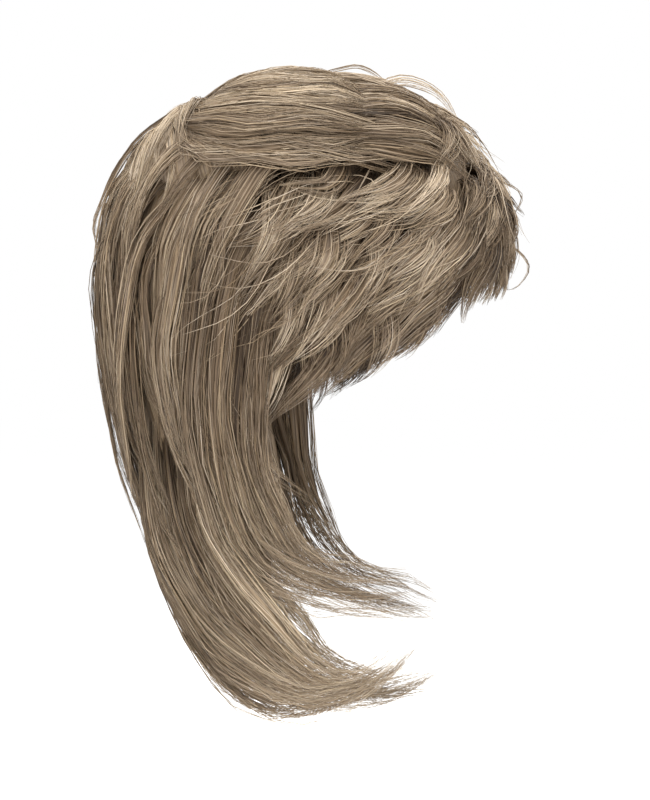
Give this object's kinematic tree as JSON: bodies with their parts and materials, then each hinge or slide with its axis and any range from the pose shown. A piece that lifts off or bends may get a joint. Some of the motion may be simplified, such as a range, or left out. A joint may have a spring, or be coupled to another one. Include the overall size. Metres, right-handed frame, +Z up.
{
  "type": "short layered wig with bangs",
  "caption": "Layered ash blond wig on an open stretch cap: crown hair out of a whorl, curled bangs, feathered sides and nape lengths that sweep forward round the neck.",
  "frame": {"origin": "inside of the cap's crown, where the top of the wearer's head touches it", "axes": "+Z up, the face looks along -Y, the wearer's left is +X"},
  "size_m": [0.223, 0.2571, 0.3957],
  "materials": {
    "cap_net": "stretch net, matte",
    "hair_crown": "soft sheen fibre",
    "hair_bangs": "soft sheen fibre",
    "hair_side": "soft sheen fibre",
    "hair_back": "soft sheen fibre",
    "hair_nape": "soft sheen fibre"
  },
  "bodies": {
    "root": {"cap": "cap_net", "crown_hair": "hair_crown", "bangs": "hair_bangs", "side_hair_right": "hair_side", "side_hair_left": "hair_side", "back_hair": "hair_back", "nape_hair": "hair_nape"}
  },
  "joints": []
}
